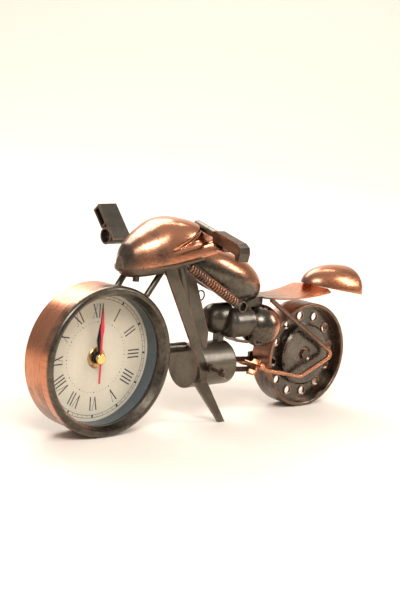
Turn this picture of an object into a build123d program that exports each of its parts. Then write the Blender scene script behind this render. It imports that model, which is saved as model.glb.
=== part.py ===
from build123d import *
import os
from math import cos, radians, sin, tan

# Quartz desk clock in the shape of a motorcycle, in millimetres.
# X runs from the front wheel to the tail, Y to the right-hand side of the bike, Z up.
# The origin is on the floor under the middle of the whole object.
# A "station" is a distance measured rearwards from the front wheel's centre.

# ---- driving dimensions -------------------------------------------------------------------
OVERALL_LENGTH = 207.12
CLOCK_RADIUS = 36.0
WHEELBASE = 133.2
REAR_RADIUS = 27.45
REAR_WIDTH = 13.6
SHEET = 0.8
PLATE = 1.6

CLOCK_FRONT_Y = -11.2
BAND_RADIUS = 35.3
DRUM_DEPTH = 20.6
LIP_RADIUS = 31.0
LENS_DEPTH = 4.6
LENS_THICKNESS = 1.2
DIAL_DEPTH = 12.9
DIAL_THICKNESS = 0.5

RUNNING_GAP = 0.05
SECOND_ARBOR_RADIUS = 0.40
MINUTE_PIPE_RADIUS = 0.90
HOUR_PIPE_RADIUS = 1.50
STEM_RADIUS = 2.60
CAP_RADIUS = 2.6

CASE_LEFT = -15.0
CASE_RIGHT = 21.6
CASE_HALF_HEIGHT = 16.0
CASE_WALL = 0.7
CASE_BACK_DEPTH = 19.1

CANISTER_RADIUS = 11.1
CANISTER_Z = 27.6
CANISTER_START = 52.9
CANISTER_END = 80.0

BALL_RADIUS = 10.8
SPRING_WIRE = 0.4
SPRING_RADIUS = 1.9
SPRING_TURNS = 20
SPRING_Y = 16.0

MID_STATION = OVERALL_LENGTH / 2 - CLOCK_RADIUS


def at(station, y, z):
    """A point of the bike from its station."""
    return Vector(station - MID_STATION, y, z)


def side_plane(y):
    """A plane parallel to the bike's side, seen from its left, with the station as local x."""
    return Plane(origin=(-MID_STATION, y, 0), x_dir=(1, 0, 0), z_dir=(0, -1, 0))


def cross_plane(station):
    """A plane across the bike, with Y as local x and Z as local y."""
    return Plane(origin=at(station, 0, 0), x_dir=(0, 1, 0), z_dir=(1, 0, 0))


def clock_plane(depth, x=0.0, z=0.0):
    """A plane parallel to the dial, facing the reader, behind the bezel's front edge."""
    origin = at(x, CLOCK_FRONT_Y + depth, CLOCK_RADIUS + z)
    return Plane(origin=origin, x_dir=(1, 0, 0), z_dir=(0, -1, 0))


def lathe_plane(station, z):
    """A plane to draw a profile that turns about a line along Y: radius and Y."""
    return Plane(origin=at(station, 0, z), x_dir=(1, 0, 0), z_dir=(0, 0, 1))


def cross_axis(station, z):
    """A line across the bike, along Y."""
    return Axis(tuple(at(station, 0, z)), (0, 1, 0))


def along(start, end):
    """A plane at start that faces end."""
    return Plane(origin=start, z_dir=end - start)


def polar(radius, angle):
    """A point in the dial's plane, with the angle counted from three o'clock."""
    return radius * cos(radians(angle)), radius * sin(radians(angle))


def gear_outline(teeth, module, tooth_angle):
    """Corner points of a spur gear with a tooth centred on tooth_angle."""
    pitch = module * teeth / 2
    step = 360 / teeth
    corners = [
        (pitch - 1.2 * module, -0.27),
        (pitch, -0.17),
        (pitch + 0.75 * module, -0.06),
        (pitch + 0.75 * module, 0.06),
        (pitch, 0.17),
        (pitch - 1.2 * module, 0.27),
    ]
    return [
        polar(radius, tooth_angle + (tooth + share) * step)
        for tooth in range(teeth)
        for radius, share in corners
    ]


def save(builder, name):
    """Labels a finished piece and writes it."""
    builder.part.label = name
    export_step(builder.part, f"parts/{name}.step")


os.makedirs("parts", exist_ok=True)

# ---- clock housing, which is the front wheel ----------------------------------------------
BEZEL_END = 6.2
SKIRT_END = 9.0
BAND_START = 6.6

with BuildPart() as bezel:
    with BuildSketch(lathe_plane(0, CLOCK_RADIUS)):
        with BuildLine():
            front = CLOCK_FRONT_Y
            Line((LIP_RADIUS, front + LENS_DEPTH), (LIP_RADIUS, front + 3.4))
            Line((LIP_RADIUS, front + 3.4), (33.0, front + 0.35))
            ThreePointArc((33.0, front + 0.35), (35.394, front + 0.736), (36.0, front + 2.2))
            Line((36.0, front + 2.2), (36.0, front + BEZEL_END))
            Line((36.0, front + BEZEL_END), (34.5, front + BEZEL_END))
            Line((34.5, front + BEZEL_END), (34.5, front + SKIRT_END))
            Line((34.5, front + SKIRT_END), (32.0, front + SKIRT_END))
            Line((32.0, front + SKIRT_END), (32.0, front + LENS_DEPTH))
            Line((32.0, front + LENS_DEPTH), (LIP_RADIUS, front + LENS_DEPTH))
        make_face()
    revolve(axis=cross_axis(0, CLOCK_RADIUS))
save(bezel, "bezel")

with BuildPart() as drum_band:
    with BuildSketch(clock_plane(BAND_START)):
        Circle(BAND_RADIUS)
        Circle(34.5, mode=Mode.SUBTRACT)
    extrude(amount=BAND_START - DRUM_DEPTH)
    outer_edges = drum_band.edges().filter_by(GeomType.CIRCLE).group_by(SortBy.RADIUS)[-1]
    fillet(outer_edges.sort_by(Axis.Y)[-1], radius=0.6)
save(drum_band, "drum_band")

with BuildPart() as lens:
    with BuildSketch(clock_plane(LENS_DEPTH)):
        Circle(32.0)
    extrude(amount=-LENS_THICKNESS)
save(lens, "lens")

with BuildPart() as spacer_ring:
    with BuildSketch(clock_plane(LENS_DEPTH + LENS_THICKNESS)):
        Circle(32.0)
        Circle(LIP_RADIUS, mode=Mode.SUBTRACT)
    extrude(amount=LENS_DEPTH + LENS_THICKNESS - DIAL_DEPTH)
save(spacer_ring, "spacer_ring")

with BuildPart() as dial_plate:
    with BuildSketch(clock_plane(DIAL_DEPTH)):
        Circle(34.5)
        Circle(STEM_RADIUS, mode=Mode.SUBTRACT)
    extrude(amount=-DIAL_THICKNESS)
save(dial_plate, "dial_plate")

CASE_FRONT_DEPTH = DIAL_DEPTH + DIAL_THICKNESS
COVER_DEPTH = 19.4
case_width = CASE_RIGHT - CASE_LEFT
case_middle = (CASE_RIGHT + CASE_LEFT) / 2

with BuildPart() as back_cover:
    with BuildSketch(clock_plane(CASE_FRONT_DEPTH)):
        Circle(34.5)
        Circle(33.7, mode=Mode.SUBTRACT)
    extrude(amount=CASE_FRONT_DEPTH - COVER_DEPTH)
    with BuildSketch(clock_plane(COVER_DEPTH)):
        Circle(34.5)
        with Locations((case_middle, 0)):
            RectangleRounded(case_width + 0.6, 2 * CASE_HALF_HEIGHT + 0.6, 3.2, mode=Mode.SUBTRACT)
    extrude(amount=-SHEET)
save(back_cover, "back_cover")

# ---- quartz movement ----------------------------------------------------------------------
STEM_FRONT_DEPTH = 11.2
third_x, third_z = polar(6.0, 60)
setting_x, setting_z = polar(7.0, 200)
transfer_x, transfer_z = polar(4.8, -60)
step_x, step_z = polar(4.2, -30)
rotor_x = transfer_x + step_x
rotor_z = transfer_z + step_z
BATTERY_X = 14.8
BATTERY_Z = 4.6
BATTERY_RADIUS = 5.8
BATTERY_CAP_RADIUS = 6.3

with BuildPart() as case_front:
    with BuildSketch(clock_plane(CASE_FRONT_DEPTH)):
        with Locations((case_middle, 0)):
            RectangleRounded(case_width, 2 * CASE_HALF_HEIGHT, 3.0)
    extrude(amount=CASE_FRONT_DEPTH - CASE_BACK_DEPTH)
    with BuildSketch(clock_plane(CASE_FRONT_DEPTH + CASE_WALL)):
        with Locations((case_middle, 0)):
            RectangleRounded(case_width - 2 * CASE_WALL, 2 * (CASE_HALF_HEIGHT - CASE_WALL), 2.4)
    extrude(amount=-(CASE_BACK_DEPTH - CASE_FRONT_DEPTH), mode=Mode.SUBTRACT)
    with BuildSketch(clock_plane(STEM_FRONT_DEPTH)):
        Circle(STEM_RADIUS)
    extrude(amount=STEM_FRONT_DEPTH - CASE_FRONT_DEPTH)
    with BuildSketch(clock_plane(STEM_FRONT_DEPTH)):
        Circle(HOUR_PIPE_RADIUS + RUNNING_GAP)
    extrude(amount=STEM_FRONT_DEPTH - CASE_FRONT_DEPTH - CASE_WALL, mode=Mode.SUBTRACT)
save(case_front, "movement_case_front")

with BuildPart() as case_back:
    with BuildSketch(clock_plane(CASE_BACK_DEPTH)):
        with Locations((case_middle, 0)):
            RectangleRounded(case_width, 2 * CASE_HALF_HEIGHT, 3.0)
    extrude(amount=-CASE_WALL)
    with BuildSketch(clock_plane(18.6)):
        Circle(0.8)
    extrude(amount=18.6 - CASE_BACK_DEPTH)
    with BuildSketch(clock_plane(18.0, third_x, third_z)):
        Circle(0.9)
    extrude(amount=18.0 - CASE_BACK_DEPTH)
    with BuildSketch(clock_plane(18.6)):
        Circle(SECOND_ARBOR_RADIUS + RUNNING_GAP)
    extrude(amount=-0.8, mode=Mode.SUBTRACT)
    with BuildSketch(clock_plane(18.0, third_x, third_z)):
        Circle(0.3 + RUNNING_GAP)
    extrude(amount=-1.5, mode=Mode.SUBTRACT)
    with BuildSketch(clock_plane(CASE_BACK_DEPTH, setting_x, setting_z)):
        Circle(0.5 + RUNNING_GAP)
    extrude(amount=-CASE_WALL, mode=Mode.SUBTRACT)
    for pivot_x, pivot_z in ((transfer_x, transfer_z), (rotor_x, rotor_z)):
        with BuildSketch(clock_plane(CASE_BACK_DEPTH, pivot_x, pivot_z)):
            Circle(0.3 + RUNNING_GAP)
        extrude(amount=-0.5, mode=Mode.SUBTRACT)
    with BuildSketch(clock_plane(CASE_BACK_DEPTH, BATTERY_X, BATTERY_Z)):
        Circle(BATTERY_CAP_RADIUS + RUNNING_GAP)
    extrude(amount=-CASE_WALL, mode=Mode.SUBTRACT)
save(case_back, "movement_case_back")

with BuildPart() as battery_cap:
    with BuildSketch(clock_plane(CASE_BACK_DEPTH, BATTERY_X, BATTERY_Z)):
        Circle(BATTERY_CAP_RADIUS)
    extrude(amount=-0.8)
    with BuildSketch(clock_plane(CASE_BACK_DEPTH + 0.8, BATTERY_X, BATTERY_Z)):
        SlotOverall(8.0, 1.2)
    extrude(amount=0.4, mode=Mode.SUBTRACT)
save(battery_cap, "battery_cap")

with BuildPart() as battery:
    with BuildSketch(clock_plane(14.7, BATTERY_X, BATTERY_Z)):
        Circle(BATTERY_RADIUS)
    extrude(amount=-4.1)
    chamfer(battery.edges().filter_by(GeomType.CIRCLE).sort_by(Axis.Y)[0], length=0.5)
save(battery, "button_cell")

with BuildPart() as contacts:
    with BuildSketch(clock_plane(14.3, BATTERY_X, BATTERY_Z)):
        Rectangle(9.0, 2.4)
    extrude(amount=-0.3)
    with BuildSketch(clock_plane(14.9, BATTERY_X, BATTERY_Z + 6.1)):
        Rectangle(5.0, 0.3)
    extrude(amount=-3.6)
save(contacts, "battery_contacts")

with BuildPart() as board:
    with BuildSketch(clock_plane(16.5, -8.6, 9.6)):
        Rectangle(9.6, 8.4)
    extrude(amount=-0.6)
    with BuildSketch(clock_plane(15.7, -7.0, 8.4)):
        Rectangle(3.0, 3.0)
    extrude(amount=-0.8)
    with BuildSketch(Plane(origin=at(-13.0, CLOCK_FRONT_Y + 15.6, CLOCK_RADIUS + 12.9), z_dir=(1, 0, 0))):
        Circle(0.9)
    extrude(amount=6.0)
save(board, "circuit_board")

STATOR_DEPTH = 16.8
with BuildPart() as stator:
    with BuildSketch(clock_plane(STATOR_DEPTH)):
        with BuildLine():
            Polyline((2.9, -13.2), (9.6, -13.2), (9.6, -3.2), (7.0, -2.6), (2.9, -8.6), close=True)
        make_face()
        with Locations((rotor_x, rotor_z)):
            Circle(2.0, mode=Mode.SUBTRACT)
        with Locations((-4.2, -11.3)):
            Rectangle(14.2, 1.6)
    extrude(amount=-0.6)
save(stator, "stator")

with BuildPart() as coil:
    coil_end = at(-9.6, CLOCK_FRONT_Y + STATOR_DEPTH + 0.3, CLOCK_RADIUS - 11.3)
    with BuildSketch(Plane(origin=coil_end, z_dir=(1, 0, 0))):
        Circle(1.9)
        Rectangle(1.7, 1.7, mode=Mode.SUBTRACT)
    extrude(amount=11.6)
    coil_ends = coil.edges().filter_by(GeomType.CIRCLE)
    chamfer(coil_ends, length=0.25)
save(coil, "coil")

# Every mesh starts with a tooth of the first gear in a gap of the second.
MAIN_MODULE = 6.0 / 34
THIRD_MODULE = 6.0 / 36
MOTION_MODULE = 7.0 / 20
SECOND_MODULE = 4.8 / 24
STEP_MODULE = 4.2 / 21

with BuildPart() as rotor:
    with BuildSketch(clock_plane(16.0, rotor_x, rotor_z)):
        Circle(1.6)
    extrude(amount=-2.0)
    with BuildSketch(clock_plane(18.2, rotor_x, rotor_z)):
        with BuildLine():
            Polyline(gear_outline(6, STEP_MODULE, 150), close=True)
        make_face()
    extrude(amount=-0.7)
    with BuildSketch(clock_plane(15.2, rotor_x, rotor_z)):
        Circle(0.3)
    extrude(amount=-4.3)
save(rotor, "rotor")

with BuildPart() as transfer_wheel:
    with BuildSketch(clock_plane(18.45, transfer_x, transfer_z)):
        with BuildLine():
            Polyline(gear_outline(36, STEP_MODULE, -30 + 180 / 36), close=True)
        make_face()
    extrude(amount=-0.3)
    with BuildSketch(clock_plane(17.85, transfer_x, transfer_z)):
        with BuildLine():
            Polyline(gear_outline(8, SECOND_MODULE, 120), close=True)
        make_face()
    extrude(amount=-0.6)
    with BuildSketch(clock_plane(17.3, transfer_x, transfer_z)):
        Circle(0.3)
    extrude(amount=-2.2)
save(transfer_wheel, "transfer_wheel")

with BuildPart() as second_wheel:
    with BuildSketch(clock_plane(18.0)):
        with BuildLine():
            Polyline(gear_outline(40, SECOND_MODULE, -60 + 180 / 40), close=True)
        make_face()
    extrude(amount=-0.3)
    with BuildSketch(clock_plane(17.0)):
        with BuildLine():
            Polyline(gear_outline(8, MAIN_MODULE, 60), close=True)
        make_face()
    extrude(amount=-1.0)
    with BuildSketch(clock_plane(8.9)):
        Circle(SECOND_ARBOR_RADIUS)
    extrude(amount=-10.3)
save(second_wheel, "second_wheel")

with BuildPart() as third_wheel:
    with BuildSketch(clock_plane(17.2, third_x, third_z)):
        with BuildLine():
            Polyline(gear_outline(60, MAIN_MODULE, 240 + 180 / 60), close=True)
        make_face()
    extrude(amount=-0.4)
    with BuildSketch(clock_plane(16.0, third_x, third_z)):
        with BuildLine():
            Polyline(gear_outline(8, THIRD_MODULE, 240), close=True)
        make_face()
    extrude(amount=-1.2)
    with BuildSketch(clock_plane(17.6, third_x, third_z)):
        Circle(0.3)
    extrude(amount=-1.6)
save(third_wheel, "third_wheel")

with BuildPart() as centre_wheel:
    with BuildSketch(clock_plane(16.1)):
        with BuildLine():
            Polyline(gear_outline(64, THIRD_MODULE, 60 + 180 / 64), close=True)
        make_face()
        Circle(MINUTE_PIPE_RADIUS + RUNNING_GAP, mode=Mode.SUBTRACT)
    extrude(amount=-0.4)
save(centre_wheel, "centre_wheel")

with BuildPart() as minute_pipe:
    with BuildSketch(clock_plane(15.0)):
        with BuildLine():
            Polyline(gear_outline(10, MOTION_MODULE, 200), close=True)
        make_face()
    extrude(amount=-0.9)
    with BuildSketch(clock_plane(9.9)):
        Circle(MINUTE_PIPE_RADIUS)
    extrude(amount=-6.9)
    with BuildSketch(clock_plane(9.9)):
        Circle(SECOND_ARBOR_RADIUS + RUNNING_GAP)
    extrude(amount=-6.9, mode=Mode.SUBTRACT)
save(minute_pipe, "minute_pipe")

with BuildPart() as setting_wheel:
    with BuildSketch(clock_plane(15.2, setting_x, setting_z)):
        with BuildLine():
            Polyline(gear_outline(30, MOTION_MODULE, 20 + 180 / 30), close=True)
        make_face()
    extrude(amount=-0.5)
    with BuildSketch(clock_plane(14.25, setting_x, setting_z)):
        with BuildLine():
            Polyline(gear_outline(8, MOTION_MODULE, 20), close=True)
        make_face()
    extrude(amount=-0.95)
    with BuildSketch(clock_plane(15.7, setting_x, setting_z)):
        Circle(0.5)
    extrude(amount=-4.2)
save(setting_wheel, "setting_wheel")

with BuildPart() as hour_wheel:
    with BuildSketch(clock_plane(14.3)):
        with BuildLine():
            Polyline(gear_outline(32, MOTION_MODULE, 200 + 180 / 32), close=True)
        make_face()
    extrude(amount=-0.5)
    with BuildSketch(clock_plane(10.85)):
        Circle(HOUR_PIPE_RADIUS)
    extrude(amount=-3.45)
    with BuildSketch(clock_plane(10.85)):
        Circle(MINUTE_PIPE_RADIUS + RUNNING_GAP)
    extrude(amount=-3.95, mode=Mode.SUBTRACT)
save(hour_wheel, "hour_wheel")

with BuildPart() as set_knob:
    with BuildSketch(clock_plane(CASE_BACK_DEPTH + CASE_WALL + 0.1, setting_x, setting_z)):
        with BuildLine():
            Polyline(gear_outline(20, 0.3, 0), close=True)
        make_face()
        Circle(0.5, mode=Mode.SUBTRACT)
    extrude(amount=-0.65)
save(set_knob, "set_knob")

with BuildPart() as dial_nut:
    with BuildSketch(clock_plane(11.9)):
        Circle(4.9)
        Circle(STEM_RADIUS, mode=Mode.SUBTRACT)
    extrude(amount=11.9 - DIAL_DEPTH)
    chamfer(dial_nut.edges().filter_by(GeomType.CIRCLE).sort_by(Axis.Y)[0:2], length=0.3)
save(dial_nut, "dial_nut")


def hand_outline(tip, belly, belly_at, tail):
    """Half of a leaf-shaped hand, pointing up, from its tail to its tip."""
    lower = [(0.45, -tail), (0.55, 0), (0.5, belly_at - 4.5)]
    return lower + [(belly, belly_at), (0.45, belly_at + 5.5), (0.0, tip)]


HANDS = {
    "hour_hand": (10.85, HOUR_PIPE_RADIUS, 2.3, -3.0, (16.5, 1.35, 8.5, 0.0)),
    "minute_hand": (9.9, MINUTE_PIPE_RADIUS, 1.9, 3.0, (25.5, 1.25, 11.0, 0.0)),
    "second_hand": (8.9, SECOND_ARBOR_RADIUS, 1.5, 0.0, (24.5, 1.1, 14.5, 12.0)),
}
for name, (depth, bore, hub, turn, outline) in HANDS.items():
    half = hand_outline(*outline)
    with BuildPart() as hand:
        with BuildSketch(clock_plane(depth).rotated((0, 0, turn))):
            with BuildLine():
                Polyline([(-x, z) for x, z in half] + half[-2::-1], close=True)
            make_face()
            Circle(hub)
            Circle(bore, mode=Mode.SUBTRACT)
        extrude(amount=-0.25)
    save(hand, name)

with BuildPart() as hand_cap:
    with BuildSketch(clock_plane(8.9)):
        Circle(CAP_RADIUS)
    extrude(amount=0.9)
    fillet(hand_cap.edges().sort_by(Axis.Y)[0], radius=0.6)
save(hand_cap, "hand_cap")

# ---- fairing, on a base that rises towards the rear ---------------------------------------
FAIRING_START = 8.0
FAIRING_BASE_Z = 77.8
FAIRING_TILT = 10.6
FAIRING_SECTIONS = {
    9.4: (3.2, 84.2),
    12.5: (7.2, 89.3),
    17.0: (10.6, 93.2),
    23.0: (13.6, 97.0),
    30.0: (15.8, 100.7),
    37.0: (17.0, 102.0),
    45.0: (17.5, 101.2),
    54.0: (17.0, 98.8),
}
fairing_plane = Plane(
    origin=at(FAIRING_START, 0, FAIRING_BASE_Z),
    x_dir=(cos(radians(FAIRING_TILT)), 0, sin(radians(FAIRING_TILT))),
    z_dir=(-sin(radians(FAIRING_TILT)), 0, cos(radians(FAIRING_TILT))),
)


def fairing_base(station):
    """Height of the fairing's base at a station."""
    return FAIRING_BASE_Z + (station - FAIRING_START) * tan(radians(FAIRING_TILT))


def hood(half_width, base, top):
    """A closed outline across the bike: a flat base under a full, rounded arch."""
    height = top - base
    Line((half_width, base), (-half_width, base))
    Spline(
        (-half_width, base),
        (-0.93 * half_width, base + 0.45 * height),
        (-0.62 * half_width, base + 0.84 * height),
        (0, top),
        (0.62 * half_width, base + 0.84 * height),
        (0.93 * half_width, base + 0.45 * height),
        (half_width, base),
    )


with BuildPart() as fairing_shell:
    for station, (half_width, top) in FAIRING_SECTIONS.items():
        with BuildSketch(cross_plane(station)):
            with BuildLine():
                hood(half_width, fairing_base(station), top)
            make_face()
    loft()
    for station, (half_width, top) in FAIRING_SECTIONS.items():
        with BuildSketch(cross_plane(station + 0.9)):
            with BuildLine():
                hood(half_width - 1.0, fairing_base(station) - 1.5, top - 1.1)
            make_face()
    loft(mode=Mode.SUBTRACT)
    with BuildSketch(side_plane(0)):
        with BuildLine():
            Polyline((30.5, 87.6), (54.5, 93.6), (54.5, 97.4), (45.5, 96.4), close=True)
        make_face()
    extrude(amount=30, both=True, mode=Mode.SUBTRACT)
save(fairing_shell, "fairing_shell")

with BuildPart() as fairing_base_plate:
    with BuildSketch(fairing_plane):
        with BuildLine():
            Spline((0.6, 0), (5.0, -8.6), (14.0, -14.6), (25.0, -17.9), (38.0, -19.2))
            Line((38.0, -19.2), (38.0, 19.2))
            Spline((38.0, 19.2), (25.0, 17.9), (14.0, 14.6), (5.0, 8.6), (0.6, 0))
        make_face()
    extrude(amount=-1.0)
    with BuildSketch(fairing_plane.offset(-1.0)):
        with BuildLine():
            Spline((2.4, 0), (6.0, -6.8), (14.0, -11.4), (25.0, -13.0), (36.5, -13.2))
            Line((36.5, -13.2), (36.5, 13.2))
            Spline((36.5, 13.2), (25.0, 13.0), (14.0, 11.4), (6.0, 6.8), (2.4, 0))
        make_face()
    extrude(amount=-3.4)
    chamfer(fairing_base_plate.faces().sort_by(Axis.Z)[0].edges(), length=1.4)
save(fairing_base_plate, "fairing_base")

# ---- handlebars ------------------------------------------------------------------------------
STRIP = 1.2
LOOP_OUTER = 4.25
LOOP_INNER = 3.35
BAR_RADIUS = 2.0
near_root = at(54.0, -3.4, 98.2)
near_tip = at(43.3, -49.57, 92.3)
near_run = near_tip - near_root
near_axis = Plane(origin=near_root, x_dir=near_run.cross(Vector(0, 0, 1)), z_dir=near_run)
near_side = Plane(origin=near_root, x_dir=near_run, z_dir=near_run.cross(Vector(0, 0, 1)))
FAR_RISE = radians(48)
far_plane = Plane(origin=at(35.0, 35.03, 90.14), x_dir=(0, cos(FAR_RISE), sin(FAR_RISE)), z_dir=(-1, 0, 0))

with BuildPart() as handlebar_near:
    with BuildSketch(near_axis.offset(-2.0)):
        Circle(BAR_RADIUS)
    extrude(amount=near_run.length * 0.5)
    with BuildSketch(near_side):
        with BuildLine():
            grip_top = ((19.0, 1.9), (21.0, 2.7), (42.5, 2.7), (46.0, 1.6), (47.0, -1.0), (46.2, -5.2))
            grip_foot = ((43.0, -5.2), (42.0, -2.9), (32.6, -2.9), (32.0, -4.6), (22.4, -5.6), (19.6, -2.6))
            Polyline(grip_top + grip_foot, close=True)
        make_face()
        with Locations((27.0, -3.4)):
            SlotOverall(7.0, 1.8, mode=Mode.SUBTRACT)
    extrude(amount=2.6, both=True)
    with BuildSketch(near_side):
        with Locations([(22.5 + 2.0 * k, 2.7) for k in range(10)]):
            Rectangle(0.8, 0.8)
    extrude(amount=2.6, both=True, mode=Mode.SUBTRACT)
    with BuildSketch(near_axis.offset(43.6)):
        with Locations((0, 3.2)):
            Rectangle(1.6, 4.4)
    extrude(amount=1.6)
save(handlebar_near, "handlebar_near")

with BuildPart() as handlebar_far:
    with BuildSketch(far_plane):
        with Locations((5.5, 0)):
            Rectangle(21.0, STRIP)
        with Locations((0, LOOP_OUTER)):
            Circle(LOOP_OUTER)
            Circle(LOOP_INNER, mode=Mode.SUBTRACT)
        with Locations((10.4, 2.4)):
            Rectangle(11.2, 4.8)
            Rectangle(9.4, 3.0, mode=Mode.SUBTRACT)
    extrude(amount=5.5, both=True)
    with BuildSketch(Plane(origin=at(39.5, 0, 0), x_dir=(0, 1, 0), z_dir=(1, 0, 0))):
        with BuildLine():
            bend = Polyline((15.6, 80.6), (30.2, 80.6), (33.0, 87.5))
            offset(bend, amount=0.6)
        make_face()
    extrude(amount=1.25, both=True)
save(handlebar_far, "handlebar_far")

# ---- fork and the stud that joins the front wheel to the engine ---------------------------
FORK_RADIUS = 1.5
FORK_LEGS = (
    (at(21.2, -7.0, 66.0), at(30.6, -7.0, 78.4)),
    (at(13.2, 6.0, 68.2), at(19.0, 6.0, 76.5)),
)
with BuildPart() as fork_legs:
    for start, end in FORK_LEGS:
        with BuildSketch(along(start, end)):
            Circle(FORK_RADIUS)
        extrude(amount=(end - start).length)
    with BuildSketch(Plane(origin=at(19.7, 0, 71.6), z_dir=(0, 0, 1))):
        Circle(1.6)
    extrude(amount=6.0)
save(fork_legs, "fork_legs")

with BuildPart() as drum_stud:
    with BuildSketch(Plane(origin=at(34.8, 0, 37.2), z_dir=(1, 0, 0))):
        Circle(2.5)
    extrude(amount=CANISTER_START - 34.8 + 0.4)
save(drum_stud, "drum_stud")

# ---- tank, seat and tail -------------------------------------------------------------------


def egg(front, rear, radius):
    """The upper side outline of an egg, blunt behind and long in front, about the line it turns about."""
    EllipticalCenterArc((0, 0), rear, radius, start_angle=0, arc_size=90)
    EllipticalCenterArc((0, 0), front, radius, start_angle=90, arc_size=90)


EGG_SHEET = 0.9
SHELLS = {
    "tank_shell": (78.0, 70.4, 22.0, 29.0, 21.8, 11.95, 270),
    "tail_dome": (161.0, 59.6, 10.5, 28.2, 10.0, 13.2, 180),
}
for name, (station, z, tilt, front, rear, radius, sweep_angle) in SHELLS.items():
    turn = radians(tilt)
    half = radians(sweep_angle / 2)
    shell_plane = Plane(
        origin=at(station, 0, z),
        x_dir=(cos(turn), 0, -sin(turn)),
        z_dir=(sin(turn) * sin(half), -cos(half), cos(turn) * sin(half)),
    )
    with BuildPart() as shell:
        with BuildSketch(shell_plane):
            with BuildLine():
                egg(front, rear, radius)
                egg(front - EGG_SHEET, rear - EGG_SHEET, radius - EGG_SHEET)
                Line((-front, 0), (EGG_SHEET - front, 0))
                Line((rear - EGG_SHEET, 0), (rear, 0))
            make_face()
        revolve(axis=Axis(tuple(at(station, 0, z)), (cos(turn), 0, -sin(turn))), revolution_arc=sweep_angle)
    save(shell, name)

with BuildPart() as seat_sheet:
    with BuildSketch(side_plane(0)):
        with BuildLine():
            Spline((98.0, 60.6), (110.0, 59.6), (121.0, 59.8), (134.0, 61.4), (142.0, 62.9))
            Line((142.0, 62.9), (142.0, 62.1))
            Spline((142.0, 62.1), (134.0, 60.6), (121.0, 59.0), (110.0, 58.8), (98.0, 59.8))
            Line((98.0, 59.8), (98.0, 60.6))
        make_face()
    extrude(amount=20, both=True)
    with BuildSketch(Plane.XY.offset(50)):
        with BuildLine():
            Spline(at(97.0, -8.0, 0), at(110.0, -9.4, 0), at(124.0, -11.8, 0), at(139.0, -14.2, 0))
            Line(at(139.0, -14.2, 0), at(142.5, -8.0, 0))
            Line(at(142.5, -8.0, 0), at(142.5, 8.0, 0))
            Line(at(142.5, 8.0, 0), at(139.0, 14.2, 0))
            Spline(at(139.0, 14.2, 0), at(124.0, 11.8, 0), at(110.0, 9.4, 0), at(97.0, 8.0, 0))
            Line(at(97.0, 8.0, 0), at(97.0, -8.0, 0))
        make_face()
    extrude(amount=30, mode=Mode.INTERSECT)
save(seat_sheet, "seat_sheet")

with BuildPart() as tank_block:
    with BuildSketch(Plane(origin=at(94.0, 0, 55.6), z_dir=(0, 0, 1))):
        RectangleRounded(11.0, 11.0, 1.5)
    extrude(amount=5.0)
save(tank_block, "tank_block")

# ---- frame strips --------------------------------------------------------------------------
STRIPS = {
    "backbone_strip": (-2.0, ((46.5, 76.5), (49.2, 77.4), (91.5, 56.5), (89.0, 51.8))),
    "down_strip": (
        -12.0,
        ((26.6, 79.6), (33.6, 79.6), (58.6, 28.5), (58.4, 21.9), (54.4, 21.9), (53.1, 29.5)),
    ),
    "rear_strip": (
        -5.0,
        ((43.0, 79.6), (49.6, 79.6), (63.2, 44.6), (62.8, 36.0), (60.6, 36.0), (55.3, 42.3)),
    ),
    "kickstand": (-12.0, ((50.0, 21.9), (58.4, 21.9), (72.2, 0.0), (68.4, 0.0))),
}
for name, (y, corners) in STRIPS.items():
    with BuildPart() as strip:
        with BuildSketch(side_plane(y - PLATE / 2)):
            with BuildLine():
                Polyline(corners, close=True)
            make_face()
        extrude(amount=-PLATE)
    save(strip, name)

with BuildPart() as shock:
    shock_start = at(40.0, -8.4, 80.0)
    shock_end = at(44.6, -8.4, 58.3)
    with BuildSketch(along(shock_start, shock_end)):
        Circle(2.5)
    extrude(amount=(shock_end - shock_start).length)
    fillet(shock.edges().sort_by(Axis.Z)[0], radius=1.6)
    shock_foot = at(60.4, -5.4, 37.6)
    with BuildSketch(along(shock_end, shock_foot)):
        Circle(0.8)
    extrude(amount=(shock_foot - shock_end).length)
save(shock, "shock_tube")

# ---- springs beside the tank ---------------------------------------------------------------
LOOP_CENTRE = (75.5, 58.6)
SPRING_SIDES = (
    (at(38.9, -SPRING_Y, 80.2), at(70.7, -SPRING_Y, 60.9), -SPRING_Y),
    (at(43.1, SPRING_Y, 77.7), at(70.7, SPRING_Y, 60.9), SPRING_Y),
)

with BuildPart() as springs:
    for start, end, y in SPRING_SIDES:
        length = (end - start).length
        with BuildLine():
            pitch = length / SPRING_TURNS
            coil_path = Helix(pitch, length, SPRING_RADIUS, center=start, direction=end - start)
        with BuildSketch(Plane(origin=coil_path @ 0, z_dir=coil_path % 0)):
            Circle(SPRING_WIRE)
        sweep(path=coil_path)
save(springs, "springs")

with BuildPart() as spring_guides:
    for start, end, y in SPRING_SIDES:
        with BuildSketch(along(start, end).offset(-3.6)):
            Circle(0.9)
        extrude(amount=(end - start).length + 6.2)
        with BuildSketch(Plane(origin=at(LOOP_CENTRE[0], y, LOOP_CENTRE[1] + 2.5), z_dir=(1, 0, 0))):
            Circle(SPRING_WIRE)
        revolve(axis=Axis(tuple(at(LOOP_CENTRE[0], y, LOOP_CENTRE[1])), (0, 1, 0)))
save(spring_guides, "spring_guides")

# ---- engine --------------------------------------------------------------------------------
with BuildPart() as canister:
    with BuildSketch(cross_plane(CANISTER_START)):
        with Locations((0, CANISTER_Z)):
            Circle(CANISTER_RADIUS)
    extrude(amount=CANISTER_END - CANISTER_START)
    fillet(canister.edges().sort_by(Axis.X)[-1], radius=2.0)
    offset(amount=-SHEET, mode=Mode.SUBTRACT)
save(canister, "canister")

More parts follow.
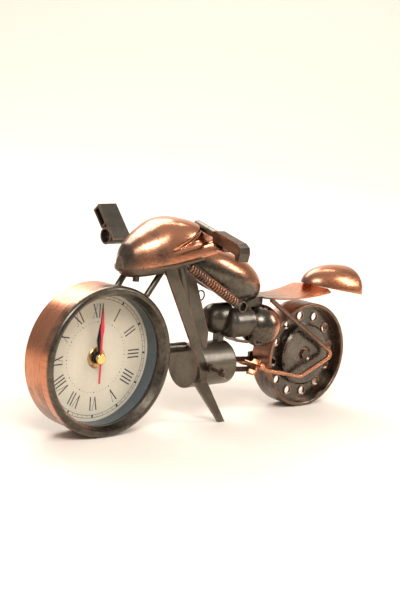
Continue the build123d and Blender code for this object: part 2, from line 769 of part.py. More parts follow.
with BuildPart() as engine_ball:
    with Locations(at(98.4, -5.0, 45.7)):
        Sphere(BALL_RADIUS)
        Sphere(BALL_RADIUS - 1.0, mode=Mode.SUBTRACT)
save(engine_ball, "engine_ball")

with BuildPart() as engine_dome_front:
    with BuildSketch(Plane(origin=at(0, 1.0, 50.0), x_dir=(1, 0, 0), z_dir=(0, -1, 0))):
        with BuildLine():
            Line((65.4, 0), (80.0, 0))
            Line((80.0, 0), (80.0, 7.6))
            Line((80.0, 7.6), (73.0, 7.6))
            JernArc((73.0, 7.6), (-1, 0), 7.6, 90)
        make_face()
    revolve(axis=Axis(tuple(at(0, 1.0, 50.0)), (1, 0, 0)))
save(engine_dome_front, "engine_dome_front")

with BuildPart() as engine_dome_rear:
    with BuildSketch(cross_plane(74.8)):
        with Locations((-4.0, 48.0)):
            Circle(7.5)
    extrude(amount=15.2)
    fillet(engine_dome_rear.edges().sort_by(Axis.X)[0], radius=4.2)
    add(engine_dome_front.part, mode=Mode.SUBTRACT)
save(engine_dome_rear, "engine_dome_rear")

with BuildPart() as engine_post:
    with BuildSketch(Plane(origin=at(75.2, 0, 37.4), z_dir=(0, 0, 1))):
        RectangleRounded(4.4, 4.4, 0.8)
    extrude(amount=7.0)
    with BuildSketch(side_plane(-6.0)):
        with BuildLine():
            edge = Polyline((80.0, 41.0), (82.6, 39.0), (90.0, 37.6))
            offset(edge, amount=0.6)
        make_face()
    extrude(amount=-8.0)
save(engine_post, "engine_brackets")

# ---- rear wheel ----------------------------------------------------------------------------
AXLE_RADIUS = 1.5
HUB_RADIUS = 3.0
WEB_Y = -1.5
WEB_THICKNESS = 1.0
HOLE_RADIUS = 2.1
SWINGARM_Y = 7.2
SWINGARM_THICKNESS = 1.4

with BuildPart() as rear_rim:
    with BuildSketch(side_plane(-REAR_WIDTH / 2)):
        with Locations((WHEELBASE, REAR_RADIUS)):
            Circle(REAR_RADIUS)
            Circle(REAR_RADIUS - 2.0, mode=Mode.SUBTRACT)
    extrude(amount=-REAR_WIDTH)
    fillet(rear_rim.edges().filter_by(GeomType.CIRCLE), radius=0.8)
save(rear_rim, "rear_rim")

with BuildPart() as rear_web:
    with BuildSketch(side_plane(WEB_Y)):
        with Locations((WHEELBASE, REAR_RADIUS)):
            Circle(REAR_RADIUS - 2.0)
            with PolarLocations(20.6, 12, start_angle=8):
                Circle(HOLE_RADIUS, mode=Mode.SUBTRACT)
    extrude(amount=-WEB_THICKNESS)
    with BuildSketch(side_plane(WEB_Y)):
        with Locations((WHEELBASE, REAR_RADIUS)):
            with PolarLocations(20.6, 12, start_angle=8):
                Circle(HOLE_RADIUS + 0.5)
                Circle(HOLE_RADIUS, mode=Mode.SUBTRACT)
    extrude(amount=0.5)
    with BuildSketch(side_plane(-3.7)):
        with Locations((WHEELBASE, REAR_RADIUS)):
            Circle(HUB_RADIUS)
    extrude(amount=-(3.7 + SWINGARM_Y - 0.1))
    with BuildSketch(side_plane(-3.7)):
        with Locations((WHEELBASE, REAR_RADIUS)):
            Circle(AXLE_RADIUS + RUNNING_GAP)
    extrude(amount=-(3.7 + SWINGARM_Y - 0.1), mode=Mode.SUBTRACT)
save(rear_web, "rear_web")

with BuildPart() as hub_cap:
    with BuildSketch(lathe_plane(WHEELBASE, REAR_RADIUS)):
        with BuildLine():
            outside = ((16.6, WEB_Y), (16.2, -4.6), (15.2, -5.5), (14.0, -5.6), (4.4, -4.7), (3.4, -3.7))
            Polyline(*outside, (HUB_RADIUS, -3.7))
            Line((HUB_RADIUS, -3.7), (HUB_RADIUS, -2.9))
            inside = ((3.8, -2.9), (4.8, -3.9), (13.9, -4.8), (14.7, -4.7), (15.4, -4.2))
            Polyline((HUB_RADIUS, -2.9), *inside, (15.8, WEB_Y))
            Line((15.8, WEB_Y), (16.6, WEB_Y))
        make_face()
    revolve(axis=cross_axis(WHEELBASE, REAR_RADIUS))
save(hub_cap, "hub_cap")

with BuildPart() as rear_axle:
    with BuildSketch(side_plane(-5.2)):
        with Locations((WHEELBASE, REAR_RADIUS)):
            Circle(AXLE_RADIUS)
    extrude(amount=-(5.2 + SWINGARM_Y + SWINGARM_THICKNESS))
    for start, thickness, radius in ((-5.2, 1.4, 2.4), (SWINGARM_Y + SWINGARM_THICKNESS, 1.6, 3.0)):
        with BuildSketch(side_plane(start)):
            with Locations((WHEELBASE, REAR_RADIUS)):
                RegularPolygon(radius, 6)
        extrude(amount=-thickness)
save(rear_axle, "rear_axle")

with BuildPart() as swingarm:
    with BuildSketch(side_plane(SWINGARM_Y)):
        with Locations((WHEELBASE, REAR_RADIUS)):
            Circle(5.0)
        with BuildLine():
            Polyline((104.6, 28.6), (WHEELBASE, 32.4), (WHEELBASE, 22.5), (104.6, 16.8), close=True)
        make_face()
        with Locations((WHEELBASE, REAR_RADIUS)):
            Circle(AXLE_RADIUS, mode=Mode.SUBTRACT)
    extrude(amount=-SWINGARM_THICKNESS)
save(swingarm, "swingarm")

STAYS = (
    (at(71.6, -9.6, 31.3), at(107.2, 8.2, 24.6)),
    (at(78.6, -9.8, 25.6), at(105.4, 8.2, 19.3)),
)
with BuildPart() as stays:
    for start, end in STAYS:
        run = end - start
        with BuildSketch(Plane(origin=start, x_dir=run.cross(Vector(0, 0, 1)), z_dir=run)):
            Rectangle(1.2, 2.6)
        extrude(amount=run.length)
save(stays, "stays")

# ---- rods, bolts and footpegs, the same on both sides ---------------------------------------
ROD_RADIUS = 1.2
ROD_Y = 10.0
ROD_CORNERS = ((95.4, 25.9), (102.5, 22.6), (125.7, 17.4), (149.2, 27.2), (100.6, 59.4))
with BuildPart() as side_rods:
    for y in (-ROD_Y, ROD_Y):
        with BuildLine():
            rod_path = FilletPolyline([at(x, y, z) for x, z in ROD_CORNERS], radius=2.4)
        with BuildSketch(Plane(origin=rod_path @ 0, z_dir=rod_path % 0)):
            Circle(ROD_RADIUS)
        sweep(path=rod_path)
save(side_rods, "side_rods")

with BuildPart() as rod_bolt:
    with BuildSketch(side_plane(-13.2)):
        with Locations((95.4, 25.9)):
            Circle(1.7)
    extrude(amount=-1.6)
    chamfer(rod_bolt.edges().sort_by(Axis.Y)[0], length=0.4)
    with BuildSketch(side_plane(-11.6)):
        with Locations((95.4, 25.9)):
            Circle(0.9)
    extrude(amount=-23.2)
    with BuildSketch(side_plane(11.6)):
        with Locations((95.4, 25.9)):
            Circle(1.7)
    extrude(amount=-1.6)
    chamfer(rod_bolt.edges().sort_by(Axis.Y)[-1], length=0.4)
    with BuildSketch(side_plane(-9.0)):
        with BuildLine():
            hook = Polyline((95.0, 28.4), (93.0, 26.8), (92.6, 23.6), (90.8, 22.0))
            offset(hook, amount=0.5)
        make_face()
    extrude(amount=2.2, both=True)
save(rod_bolt, "rod_fittings")

PEG_REACH = 16.0
with BuildPart() as footpegs:
    for sign in (-1, 1):
        peg_axis = Plane(origin=at(58.6, sign * 11.0, 29.0), z_dir=(0, sign, -0.06))
        with BuildSketch(peg_axis):
            Circle(1.0)
        extrude(amount=PEG_REACH)
        for reach, radius, thickness in ((2.0, 2.2, 1.0), (4.4, 2.2, 1.0), (11.0, 2.2, 1.2)):
            with BuildSketch(peg_axis.offset(reach)):
                Circle(radius)
            extrude(amount=thickness)
        with BuildSketch(peg_axis.offset(13.6)):
            RegularPolygon(2.2, 6)
        extrude(amount=2.4)
save(footpegs, "footpegs")
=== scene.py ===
from math import cos, hypot, pi, radians, sin, sqrt

import bmesh
import bpy
from mathutils import Matrix, Vector


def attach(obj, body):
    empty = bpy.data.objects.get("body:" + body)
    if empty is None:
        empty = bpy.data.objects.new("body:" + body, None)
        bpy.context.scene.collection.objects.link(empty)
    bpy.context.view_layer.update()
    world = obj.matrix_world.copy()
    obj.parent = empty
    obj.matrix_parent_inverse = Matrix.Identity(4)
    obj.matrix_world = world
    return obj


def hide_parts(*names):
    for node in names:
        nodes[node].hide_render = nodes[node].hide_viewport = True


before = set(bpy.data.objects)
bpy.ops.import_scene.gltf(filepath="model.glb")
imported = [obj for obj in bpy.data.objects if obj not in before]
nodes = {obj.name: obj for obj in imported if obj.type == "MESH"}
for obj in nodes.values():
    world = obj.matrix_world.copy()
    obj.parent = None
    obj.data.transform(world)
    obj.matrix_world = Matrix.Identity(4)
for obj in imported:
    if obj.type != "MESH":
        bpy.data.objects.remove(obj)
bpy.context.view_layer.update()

MM = 0.001
MID = 67.56           # station of the object's middle, mm from the clock's axis
CLOCK_Z = 36.0        # height of the clock's axis, mm
FRONT_Y = -11.2       # the bezel's front face, mm
DIAL_Y = FRONT_Y + 12.9


def at(station, y, z):
    """A point of the bike: station from the front axle, right-hand side, height, in mm."""
    return Vector(((station - MID) * MM, y * MM, z * MM))


def x_of(station):
    return (station - MID) * MM


def add_object(name, data):
    """A new object in the scene."""
    thing = bpy.data.objects.new(name, data)
    bpy.context.scene.collection.objects.link(thing)
    return thing


# ---- camera ---------------------------------------------------------------------------------
YAW, PITCH, ROLL = radians(41.576), radians(10.027), radians(4.264)
CAMERA_STATION, CAMERA_Y, CAMERA_Z = -422.344, -545.047, 188.875
FOCAL_LENGTH, SENSOR_WIDTH = 90.0, 36.0
forward = Vector((sin(YAW) * cos(PITCH), cos(YAW) * cos(PITCH), -sin(PITCH)))
level = Vector((cos(YAW), -sin(YAW), 0))
upward = level.cross(forward)
right = level * cos(ROLL) + upward * sin(ROLL)
top = upward * cos(ROLL) - level * sin(ROLL)
camera_data = bpy.data.cameras.new("camera")
camera_data.lens = FOCAL_LENGTH
camera_data.sensor_width = SENSOR_WIDTH
camera_data.sensor_fit = "AUTO"
camera_data.clip_start = 0.05
camera_data.clip_end = 30.0
camera = add_object("camera", camera_data)
camera.matrix_world = Matrix(
    (
        (right.x, top.x, -forward.x, x_of(CAMERA_STATION)),
        (right.y, top.y, -forward.y, CAMERA_Y * MM),
        (right.z, top.z, -forward.z, CAMERA_Z * MM),
        (0, 0, 0, 1),
    )
)
bpy.context.scene.camera = camera
bpy.context.scene.view_settings.view_transform = "Standard"

# ---- material helpers -----------------------------------------------------------------------


EDGE_RADIUS = 0.0006                  # m, how far in from a corner the plating is rubbed
EDGE_FULL, EDGE_NONE = 0.86, 0.985    # agreement of the two normals at a full edge and on a flat


class Nodes:
    """Short names for building one material's node tree."""

    def __init__(self, name):
        self.material = bpy.data.materials.new(name)
        self.material.use_nodes = True
        self.tree = self.material.node_tree
        self.shader = self.tree.nodes["Principled BSDF"]
        self.coords = self.tree.nodes.new("ShaderNodeTexCoord").outputs["Object"]

    def add(self, kind, **values):
        node = self.tree.nodes.new(kind)
        for key, value in values.items():
            setattr(node, key, value)
        return node

    def link(self, source, target):
        self.tree.links.new(source, target)

    def stretched(self, scale):
        mapping = self.add("ShaderNodeMapping")
        mapping.inputs["Scale"].default_value = scale
        self.link(self.coords, mapping.inputs["Vector"])
        return mapping.outputs["Vector"]

    def noise(self, scale, detail=4.0, rough=0.6, vector=None, distortion=0.0):
        node = self.add("ShaderNodeTexNoise")
        node.inputs["Scale"].default_value = scale
        node.inputs["Detail"].default_value = detail
        node.inputs["Roughness"].default_value = rough
        node.inputs["Distortion"].default_value = distortion
        self.link(vector or self.coords, node.inputs["Vector"])
        return node.outputs["Fac"]

    def ramp(self, value, low, high, start=0.0, end=1.0):
        node = self.add("ShaderNodeMapRange", interpolation_type="SMOOTHSTEP")
        limits = {"From Min": low, "From Max": high, "To Min": start, "To Max": end}
        for key, number in limits.items():
            node.inputs[key].default_value = number
        self.link(value, node.inputs["Value"])
        return node.outputs["Result"]

    def maths(self, operation, first, second):
        node = self.add("ShaderNodeMath", operation=operation)
        for socket, value in zip(node.inputs, (first, second)):
            if isinstance(value, (int, float)):
                socket.default_value = value
            else:
                self.link(value, socket)
        return node.outputs[0]

    def mix(self, factor, first, second):
        node = self.add("ShaderNodeMix", data_type="RGBA")
        sockets = (node.inputs[0], node.inputs[6], node.inputs[7])
        for socket, value in zip(sockets, (factor, first, second)):
            if isinstance(value, (int, float)):
                socket.default_value = value
            elif isinstance(value, tuple):
                socket.default_value = (*value, 1.0)
            else:
                self.link(value, socket)
        return node.outputs[2]

    def axis(self, name):
        if not hasattr(self, "split"):
            self.split = self.add("ShaderNodeSeparateXYZ")
            self.link(self.coords, self.split.inputs[0])
        return self.split.outputs[name]

    def drifted(self, value, clouds, amount):
        """The value moved about by the clouds, for a smoky border where it is ramped."""
        return self.maths("ADD", value, self.maths("MULTIPLY", self.maths("SUBTRACT", clouds, 0.5), amount))

    def edges(self):
        """1 at a corner and 0 on a flat, from how far a rounded normal leans away from the flat one."""
        rounded = self.add("ShaderNodeBevel", samples=4)
        rounded.inputs["Radius"].default_value = EDGE_RADIUS
        geometry = self.add("ShaderNodeNewGeometry")
        lean = self.add("ShaderNodeVectorMath", operation="DOT_PRODUCT")
        self.link(rounded.outputs["Normal"], lean.inputs[0])
        self.link(geometry.outputs["Normal"], lean.inputs[1])
        return self.ramp(lean.outputs["Value"], EDGE_FULL, EDGE_NONE, 1.0, 0.0)

    def bump(self, height, strength, distance):
        node = self.add("ShaderNodeBump")
        node.inputs["Strength"].default_value = strength
        node.inputs["Distance"].default_value = distance
        self.link(height, node.inputs["Height"])
        self.link(node.outputs["Normal"], self.shader.inputs["Normal"])


COPPER = (0.56, 0.205, 0.095)
COPPER_PALE = (0.64, 0.28, 0.155)
COPPER_DARK = (0.26, 0.095, 0.048)
PATINA = (0.060, 0.047, 0.034)
PATINA_PALE = (0.115, 0.098, 0.074)
PATINA_DARK = (0.018, 0.014, 0.011)


def plated(name, patina_mask, patina_amount, brush, rough, edge=0.6):
    """Antique copper plating: brushed copper, smoky transitions to olive-grey patina, bright edges."""
    n = Nodes(name)
    clouds = n.noise(38.0, 5.0, 0.62, distortion=0.6)
    fine = n.noise(420.0, 4.0, 0.7)
    streaks = n.noise(900.0, 3.0, 0.6, vector=n.stretched(brush))
    copper = n.mix(n.ramp(clouds, 0.35, 0.7), COPPER, COPPER_PALE)
    copper = n.mix(n.ramp(streaks, 0.45, 0.75, 0.0, 0.45), copper, COPPER_DARK)
    grime = n.mix(n.ramp(fine, 0.3, 0.7), PATINA, PATINA_PALE)
    grime = n.mix(n.ramp(clouds, 0.55, 0.8, 0.0, 0.7), grime, PATINA_DARK)
    cover = n.ramp(clouds, 0.62 - patina_amount * 0.5, 0.92 - patina_amount * 0.5)
    if patina_mask is not None:
        cover = n.maths("MAXIMUM", cover, patina_mask(n, clouds))
    cover = n.maths("SUBTRACT", cover, n.maths("MULTIPLY", n.edges(), edge))
    cover = n.maths("ADD", cover, n.ramp(streaks, 0.5, 0.8, 0.0, 0.12))
    clamp = n.add("ShaderNodeClamp")
    n.link(cover, clamp.inputs[0])
    cover = clamp.outputs[0]
    n.link(n.mix(cover, copper, grime), n.shader.inputs["Base Color"])
    n.shader.inputs["Metallic"].default_value = 1.0
    brushed = n.ramp(streaks, 0.3, 0.8, *rough)
    n.link(n.maths("ADD", brushed, n.maths("MULTIPLY", cover, 0.12)), n.shader.inputs["Roughness"])
    n.shader.inputs["Coat Weight"].default_value = 0.35
    n.shader.inputs["Coat Roughness"].default_value = 0.12
    relief = n.maths("ADD", n.maths("MULTIPLY", streaks, 0.5), n.maths("MULTIPLY", clouds, 0.9))
    n.bump(relief, 0.25, 0.00025)
    return n.material


def patina(name, brightness=1.0, copper_edges=0.5, rough=(0.3, 0.5), coat=0.3):
    """Gun-metal patina over copper, rubbed through to copper along the edges."""
    n = Nodes(name)
    clouds = n.noise(55.0, 5.0, 0.62, distortion=0.4)
    fine = n.noise(600.0, 4.0, 0.7)
    base, pale, dark = (tuple(v * brightness for v in tone) for tone in (PATINA, PATINA_PALE, PATINA_DARK))
    colour = n.mix(n.ramp(clouds, 0.3, 0.72), base, pale)
    colour = n.mix(n.ramp(fine, 0.55, 0.8, 0.0, 0.55), colour, dark)
    rubbed = n.maths("MULTIPLY", n.edges(), n.ramp(clouds, 0.35, 0.6, copper_edges * 0.4, copper_edges))
    n.link(n.mix(rubbed, colour, COPPER), n.shader.inputs["Base Color"])
    n.shader.inputs["Metallic"].default_value = 0.9
    n.link(n.ramp(fine, 0.3, 0.75, *rough), n.shader.inputs["Roughness"])
    n.shader.inputs["Coat Weight"].default_value = coat
    n.shader.inputs["Coat Roughness"].default_value = 0.15
    n.bump(n.maths("ADD", n.maths("MULTIPLY", fine, 0.4), clouds), 0.3, 0.0003)
    return n.material


def plain(name, colour, rough=0.4, metallic=0.0, grain=500.0, vary=0.12, bump=0.15, coat=0.0):
    """A painted, moulded or turned surface with slight mottling and grain."""
    n = Nodes(name)
    fine = n.noise(grain, 4.0, 0.65)
    dark = tuple(v * (1 - vary) for v in colour)
    n.link(n.mix(n.ramp(fine, 0.3, 0.7), colour, dark), n.shader.inputs["Base Color"])
    n.link(n.ramp(fine, 0.3, 0.7, rough * 0.85, rough * 1.15), n.shader.inputs["Roughness"])
    n.shader.inputs["Metallic"].default_value = metallic
    n.shader.inputs["Coat Weight"].default_value = coat
    n.bump(fine, bump, 0.0001)
    return n.material


def paint(names, material):
    for name in names.split():
        node = nodes[name]
        node.data.materials.clear()
        node.data.materials.append(material)


def axis_mask(axis, low, high, start, end, blur=0.016):
    """Patina that fades along one axis, from start at low (metres) to end at high, with a smoky border."""
    def mask(n, clouds):
        return n.ramp(n.drifted(n.axis(axis), clouds, blur), low, high, start, end)
    return mask


def station_mask(low, high, start, end, blur=0.016):
    """The same along the bike, between two stations in mm."""
    return axis_mask("X", x_of(low), x_of(high), start, end, blur)


# ---- materials of the CAD nodes ---------------------------------------------------------------


def band_mask(n, clouds):
    low_down = n.ramp(n.drifted(n.axis("Z"), clouds, 0.035), 0.012, 0.030, 0.85, 0.0)
    return n.maths("MULTIPLY", low_down, n.ramp(n.axis("Y"), -0.004, 0.010, 1.0, 0.6))


def bezel_mask(n, clouds):
    across = n.drifted(n.axis("X"), clouds, 0.012)
    front = n.ramp(n.axis("Y"), (FRONT_Y + 1.0) * MM, (FRONT_Y + 2.6) * MM, 1.0, 0.0)
    return n.maths("MAXIMUM", n.ramp(across, x_of(-24), x_of(2), 0.0, 1.0), front)


TANK_LEAN = 0.445     # the border of the tank's darker lower part falls this much per unit of length


def tank_mask(n, clouds):
    # The tank is darker below a line that falls towards the rear.
    down = n.maths("ADD", n.axis("Z"), n.maths("MULTIPLY", n.axis("X"), TANK_LEAN))
    return n.ramp(n.drifted(down, clouds, 0.008), 0.0745, 0.0825, 1.0, 0.0)


# node, material, mask, share of patina, stretch of the brushing, least and most roughness, bright edges
ACROSS, ALONG, ROUND = (1, 0.1, 1), (0.2, 1, 1), (1, 1, 1)
for names, name, mask, amount, brush, rough, edge in (
    ("drum_band", "copper_band", band_mask, 0.18, (0.12, 1, 0.12), (0.24, 0.4), 0.4),
    ("bezel", "bezel_plate", bezel_mask, 0.3, ACROSS, (0.16, 0.3), 0.35),
    ("fairing_shell", "fairing_copper", station_mask(9, 24, 0.95, 0.0), 0.2, ALONG, (0.17, 0.3), 0.6),
    ("tank_shell", "tank_copper", tank_mask, 0.25, (0.25, 1, 1), (0.14, 0.28), 0.6),
    ("seat_sheet", "seat_copper", station_mask(104, 122, 0.8, 0.05), 0.25, ALONG, (0.24, 0.4), 0.6),
    ("tail_dome", "tail_copper", station_mask(134, 146, 0.6, 0.0), 0.22, (0.3, 1, 1), (0.2, 0.36), 0.6),
    ("engine_ball", "ball_copper", station_mask(97, 102, 1.0, 0.0, 0.008), 0.12, ROUND, (0.12, 0.24), 0.6),
    ("side_rods", "rod_copper", axis_mask("Z", 0.026, 0.034, 0.1, 0.85), 0.3, (0.3, 1, 1), (0.2, 0.36), 0.6),
    ("rod_fittings", "bolt_copper", None, 0.05, ROUND, (0.2, 0.34), 0.6),
    ("springs", "spring_copper", None, 0.5, ROUND, (0.22, 0.4), 0.6),
    ("rear_rim", "rim_copper", station_mask(106, 112, 0.6, 0.85), 0.45, (0.2, 1, 0.2), (0.2, 0.38), 0.9),
):
    paint(names, plated(name, mask, amount, brush, rough, edge))
paint("rear_web", patina("web_patina", 0.8, 0.9, (0.22, 0.4), coat=0.5))
paint("hub_cap", patina("hub_patina", 1.0, 0.6, (0.2, 0.36), coat=0.5))
paint("canister fairing_base", patina("olive_patina", 1.5, 0.35, (0.38, 0.55)))
paint("back_cover backbone_strip down_strip drum_stud engine_brackets engine_dome_front engine_dome_rear "
      "footpegs fork_legs kickstand rear_axle rear_strip shock_tube stays swingarm tank_block spring_guides "
      "handlebar_near handlebar_far", patina("gunmetal_patina"))
paint("movement_case_front movement_case_back battery_cap set_knob",
      plain("black_moulding", (0.012, 0.012, 0.013), 0.45))
paint("spacer_ring", plain("blue_grey_ring", (0.085, 0.105, 0.115), 0.35, 0.2, 300.0))
paint("dial_plate", plain("dial_paper", (0.62, 0.56, 0.44), 0.6, 0.0, 900.0, 0.05, 0.08))
paint("dial_nut", plain("nut_brass", (0.55, 0.36, 0.17), 0.3, 1.0, 700.0))
paint("hand_cap", plain("cap_brass", (0.86, 0.58, 0.20), 0.16, 1.0, 500.0, 0.06, 0.05))
paint("hour_hand minute_hand", plain("hand_black", (0.018, 0.022, 0.020), 0.35, 0.0, 600.0))
paint("second_hand", plain("hand_red", (0.62, 0.02, 0.045), 0.35, 0.0, 600.0))
paint("centre_wheel hour_wheel minute_pipe second_wheel setting_wheel third_wheel transfer_wheel rotor",
      plain("gear_moulding", (0.70, 0.68, 0.62), 0.4))
paint("stator battery_contacts button_cell", plain("bright_steel", (0.55, 0.55, 0.54), 0.28, 1.0))
paint("circuit_board", plain("board_green", (0.02, 0.16, 0.07), 0.35))
paint("coil", plain("coil_wire", (0.52, 0.20, 0.06), 0.3, 0.9, 1500.0, 0.4, 0.5))

glass = bpy.data.materials.new("lens_glass")
glass.use_nodes = True
glass_shader = glass.node_tree.nodes["Principled BSDF"]
for socket, value in (("Base Color", (1, 1, 1, 1)), ("Roughness", 0.02), ("Transmission Weight", 1.0),
                      ("IOR", 1.02), ("Alpha", 0.12)):
    glass_shader.inputs[socket].default_value = value
paint("lens", glass)

# ---- fairing ----------------------------------------------------------------------------------
FAIRING_START, FAIRING_END, FAIRING_BASE_Z, FAIRING_SLOPE = 9.4, 54.0, 77.8, 0.187
FAIRING_TAIL = 2.4                    # mm, rounded closing behind the last station
TAIL_NARROWING, TAIL_DROP = 0.12, 2.0   # share of the width, and mm of the height, lost over that closing
SIDE_POWER, TOP_POWER = 0.72, 0.88    # 1 and 1 would make the section half an ellipse
SCOOP_DEPTH, SCOOP_WALL, SCOOP_REACH = 3.6, 3.0, 6.0    # mm; the reach is from the middle plane
FAIRING_ROWS, FAIRING_COLUMNS = 90, 64
FAIRING_STATIONS = (9.4, 12.5, 17.0, 23.0, 30.0, 37.0, 45.0, 54.0)
FAIRING_WIDTHS = (3.2, 7.2, 10.6, 13.6, 15.8, 17.0, 17.5, 17.0)
FAIRING_TOPS = (84.2, 89.3, 93.2, 97.0, 100.7, 102.0, 101.2, 98.8)
SCOOP_APEX, SCOOP_LOWER, SCOOP_UPPER = (26.5, 86.6), (54.5, 92.0), (46.0, 97.2)


def smooth(x):
    x = min(max(x, 0.0), 1.0)
    return x * x * (3 - 2 * x)


def along_curve(table, station):
    """The table's value at a station, on a Catmull-Rom curve through its points."""
    k = max(j for j in range(len(FAIRING_STATIONS) - 1) if FAIRING_STATIONS[j] <= station + 1e-6)
    t = (station - FAIRING_STATIONS[k]) / (FAIRING_STATIONS[k + 1] - FAIRING_STATIONS[k])
    p0, p1, p2 = table[max(k - 1, 0)], table[k], table[k + 1]
    p3 = table[min(k + 2, len(table) - 1)]
    square = 2 * p0 - 5 * p1 + 4 * p2 - p3
    cube = 3 * p1 - p0 - 3 * p2 + p3
    return 0.5 * (2 * p1 + (p2 - p0) * t + square * t * t + cube * t ** 3)


def above_line(start, end, station, z):
    """Distance of a side-view point above a line, in mm."""
    dx, dz = end[0] - start[0], end[1] - start[1]
    return ((z - start[1]) * dx - (station - start[0]) * dz) / hypot(dx, dz)


def scoop(station, z):
    """How deep the scoop behind the upper lobe is pressed in at a side-view point."""
    below_upper = -above_line(SCOOP_APEX, SCOOP_UPPER, station, z)
    inside = min(above_line(SCOOP_APEX, SCOOP_LOWER, station, z), below_upper)
    return SCOOP_DEPTH * smooth((inside + 0.4) / SCOOP_WALL)


def fairing_section(station):
    """Points across the fairing at a station, from its right lower edge over the top to the left one."""
    section = min(station, FAIRING_END)
    closing = max(station - FAIRING_END, 0.0) / FAIRING_TAIL
    shrink = sqrt(max(1 - closing ** 2, 0.0)) if closing else 1.0
    base = FAIRING_BASE_Z + (section - FAIRING_START) * FAIRING_SLOPE
    width = along_curve(FAIRING_WIDTHS, section) * (1 - TAIL_NARROWING + TAIL_NARROWING * shrink)
    height = along_curve(FAIRING_TOPS, section) - TAIL_DROP * (1 - shrink)
    middle = base + 0.35 * (height - base)
    points = []
    for j in range(FAIRING_COLUMNS + 1):
        turn = pi * j / FAIRING_COLUMNS
        side, rise = cos(turn), sin(turn)
        y = width * (abs(side) ** SIDE_POWER) * (1 if side > 0 else -1)
        z = base + (height - base) * rise ** TOP_POWER
        reach = max(hypot(y, z - middle), 1.0)
        pull = 1 - scoop(station, z) * smooth(abs(y) / SCOOP_REACH) / reach
        points.append(at(station, y * pull, middle + (z - middle) * pull))
    return points


bm = bmesh.new()
grid = []
for i in range(FAIRING_ROWS + 1):
    station = FAIRING_START + i / FAIRING_ROWS * (FAIRING_END + FAIRING_TAIL - FAIRING_START)
    grid.append([bm.verts.new(point) for point in fairing_section(station)])
for row, after in zip(grid, grid[1:]):
    for j in range(FAIRING_COLUMNS):
        bm.faces.new((row[j], row[j + 1], after[j + 1], after[j]))
bm.faces.new(grid[0])
bm.faces.new(list(reversed(grid[-1])))
bmesh.ops.recalc_face_normals(bm, faces=bm.faces)
for face in bm.faces:
    face.smooth = len(face.verts) == 4
fairing_mesh = bpy.data.meshes.new("fairing_skin")
bm.to_mesh(fairing_mesh)
bm.free()
fairing = add_object("fairing_skin", fairing_mesh)
fairing_mesh.materials.append(nodes["fairing_shell"].data.materials[0])
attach(fairing, "root")
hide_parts("fairing_shell")

# ---- dial print -------------------------------------------------------------------------------


PRINT_LIFT = 0.03     # mm in front of the dial


class Print:
    """Flat printed shapes on the dial, gathered into one mesh."""

    def __init__(self):
        self.bm = bmesh.new()

    def shape(self, corners):
        """A flat shape from (x, z) corners in mm about the dial's centre, going anticlockwise."""
        self.bm.faces.new([self.bm.verts.new(at(x, DIAL_Y - PRINT_LIFT, CLOCK_Z + z)) for x, z in corners])

    def bar(self, start, end, width):
        dx, dz = end[0] - start[0], end[1] - start[1]
        length = hypot(dx, dz)
        px, pz = -dz / length * width / 2, dx / length * width / 2
        self.shape([(start[0] - px, start[1] - pz), (end[0] - px, end[1] - pz),
                    (end[0] + px, end[1] + pz), (start[0] + px, start[1] + pz)])

    def dot(self, x, z, radius):
        self.shape([(x + radius * cos(a * pi / 5), z + radius * sin(a * pi / 5)) for a in range(10)])

    def ring(self, radius, width):
        steps, outer = 180, radius + width
        for k in range(steps):
            a, b = 2 * pi * k / steps, 2 * pi * (k + 1) / steps
            self.shape([(radius * cos(a), radius * sin(a)), (outer * cos(a), outer * sin(a)),
                        (outer * cos(b), outer * sin(b)), (radius * cos(b), radius * sin(b))])

    def finish(self, name, material):
        mesh = bpy.data.meshes.new(name)
        self.bm.normal_update()
        self.bm.to_mesh(mesh)
        self.bm.free()
        mesh.materials.append(material)
        return add_object(name, mesh)


ink = plain("dial_ink", (0.020, 0.018, 0.022), 0.55, 0.0, 800.0)
dial = Print()
TRACK_IN, TRACK_OUT, TRACK_LINE = 28.0, 29.4, 0.20
HOUR_TICK, MINUTE_TICK = 0.95, 0.16
DOT_CIRCLE, HOUR_DOT, MINUTE_DOT = 17.0, 0.33, 0.19
dial.ring(TRACK_IN - 0.12, TRACK_LINE)
dial.ring(TRACK_OUT - 0.10, TRACK_LINE)
for minute in range(60):
    angle = radians(90 - 6 * minute)
    c, s = cos(angle), sin(angle)
    tick, dot = (MINUTE_TICK, MINUTE_DOT) if minute % 5 else (HOUR_TICK, HOUR_DOT)
    dial.bar((TRACK_IN * c, TRACK_IN * s), (TRACK_OUT * c, TRACK_OUT * s), tick)
    dial.dot(DOT_CIRCLE * c, DOT_CIRCLE * s, dot)

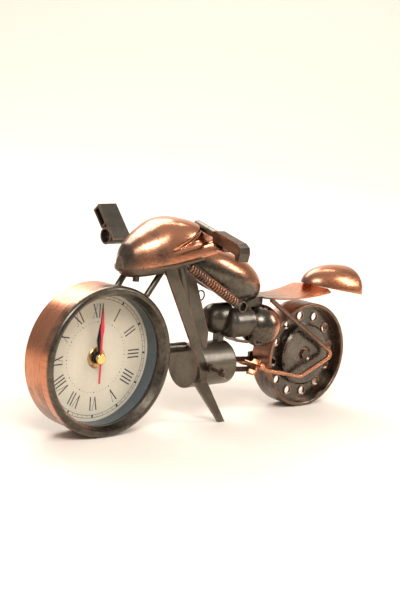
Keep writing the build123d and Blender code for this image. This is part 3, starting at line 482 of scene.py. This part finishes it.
NUMERALS = ("I", "II", "III", "IIII", "V", "VI", "VII", "VIII", "IX", "X", "XI", "XII")
WIDTHS = {"I": 1.75, "V": 3.3, "X": 3.3}
LOW, HIGH = 19.2, 25.6                # inner and outer radius of the numerals
THICK, THIN, SERIF = 0.62, 0.22, 0.16
SPREAD, SERIF_HALF = 1.15, 0.52       # half a V's or X's width, and half a serif's length
for hour, text in enumerate(NUMERALS, 1):
    angle = radians(-30 * hour)
    total = sum(WIDTHS[letter] for letter in text)

    def place(x, z):
        return x * cos(angle) - z * sin(angle), x * sin(angle) + z * cos(angle)

    def stroke(x1, z1, x2, z2, width):
        dial.bar(place(x1, z1), place(x2, z2), width)

    x = -total / 2
    for letter in text:
        middle = x + WIDTHS[letter] / 2
        if letter == "I":
            stroke(middle, LOW, middle, HIGH, THICK)
            stems = ((middle, LOW), (middle, HIGH))
        elif letter == "V":
            stroke(middle - SPREAD, HIGH, middle, LOW, THICK)
            stroke(middle, LOW, middle + SPREAD, HIGH, THIN)
            stems = ((middle - SPREAD, HIGH), (middle + SPREAD, HIGH))
        else:
            stroke(middle - SPREAD, HIGH, middle + SPREAD, LOW, THICK)
            stroke(middle - SPREAD, LOW, middle + SPREAD, HIGH, THIN)
            stems = [(middle + side, z) for side in (-SPREAD, SPREAD) for z in (LOW, HIGH)]
        for stem, z in stems:
            stroke(stem - SERIF_HALF, z, stem + SERIF_HALF, z, SERIF)
        x += WIDTHS[letter]
dial_print = dial.finish("dial_print", ink)
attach(dial_print, "root")

# ---- floor, world and light --------------------------------------------------------------------
CREAM = (0.985, 0.900, 0.810)         # the backdrop where no floor is seen
SWEEP_START, SWEEP_RADIUS, SWEEP_HEIGHT, SWEEP_HALF_WIDTH = 1.3, 1.4, 4.0, 6.0
profile = [(-3.0, 0.0), (SWEEP_START, 0.0)]
for k in range(1, 33):
    turn = pi / 2 * k / 32
    profile.append((SWEEP_START + SWEEP_RADIUS * sin(turn), SWEEP_RADIUS * (1 - cos(turn))))
profile.append((SWEEP_START + SWEEP_RADIUS, SWEEP_HEIGHT))
away = Vector((sin(YAW), cos(YAW), 0))
across = Vector((cos(YAW), -sin(YAW), 0)) * SWEEP_HALF_WIDTH
corners = []
for distance, height in profile:
    point = away * distance + Vector((0, 0, height))
    corners += [point - across, point + across]
panels = [(2 * k, 2 * k + 1, 2 * k + 3, 2 * k + 2) for k in range(len(profile) - 1)]
floor_mesh = bpy.data.meshes.new("floor")
floor_mesh.from_pydata(corners, [], panels)
floor_mesh.polygons.foreach_set("use_smooth", [True] * len(panels))
floor = add_object("floor", floor_mesh)
sheet = Nodes("floor_sheet")
sheet.shader.inputs["Base Color"].default_value = (0.86, 0.77, 0.68, 1)
sheet.shader.inputs["Roughness"].default_value = 0.55
sheet.shader.inputs["Specular IOR Level"].default_value = 0.3
floor_mesh.materials.append(sheet.material)

world = bpy.data.worlds.new("studio")
bpy.context.scene.world = world
world.use_nodes = True
sky = world.node_tree
background = sky.nodes["Background"]
background.inputs["Strength"].default_value = 1.0
coords = sky.nodes.new("ShaderNodeTexCoord")
split = sky.nodes.new("ShaderNodeSeparateXYZ")
sky.links.new(coords.outputs["Generated"], split.inputs[0])
fade = sky.nodes.new("ShaderNodeMapRange")
for socket, value in (("From Min", -0.1), ("From Max", 0.9), ("To Min", 0.24), ("To Max", 0.62)):
    fade.inputs[socket].default_value = value
sky.links.new(split.outputs["Z"], fade.inputs["Value"])
ray = sky.nodes.new("ShaderNodeLightPath")
seen = sky.nodes.new("ShaderNodeMix")
seen.data_type = "RGBA"
sky.links.new(ray.outputs["Is Camera Ray"], seen.inputs[0])
sky.links.new(fade.outputs["Result"], seen.inputs[6])
seen.inputs[7].default_value = (*CREAM, 1)
sky.links.new(seen.outputs[2], background.inputs["Color"])


LAMP_COLOUR = (1.0, 0.97, 0.93)


def softbox(name, place, target, size, power):
    """A rectangular lamp at place (metres) that faces target, with its power in watts."""
    data = bpy.data.lights.new(name, "AREA")
    data.shape = "RECTANGLE"
    data.size, data.size_y = size
    data.energy = power
    data.color = LAMP_COLOUR
    light = add_object(name, data)
    light.location = place
    light.rotation_euler = (Vector(target) - Vector(place)).to_track_quat("-Z", "Y").to_euler()


softbox("key", (-0.45, -0.60, 0.80), (0, 0, 0.04), (0.55, 0.30), 9.0)
softbox("side", (0.70, -0.60, 0.55), (0.02, 0, 0.05), (0.25, 0.45), 4.5)
softbox("back", (0.25, 0.95, 0.95), (0.1, 0.4, 0.0), (0.9, 0.5), 9.0)
softbox("backdrop", away * 1.2 + Vector((0, 0, 2.2)), away * 2.5 + Vector((0, 0, 0.6)), (2.0, 0.6), 34.0)
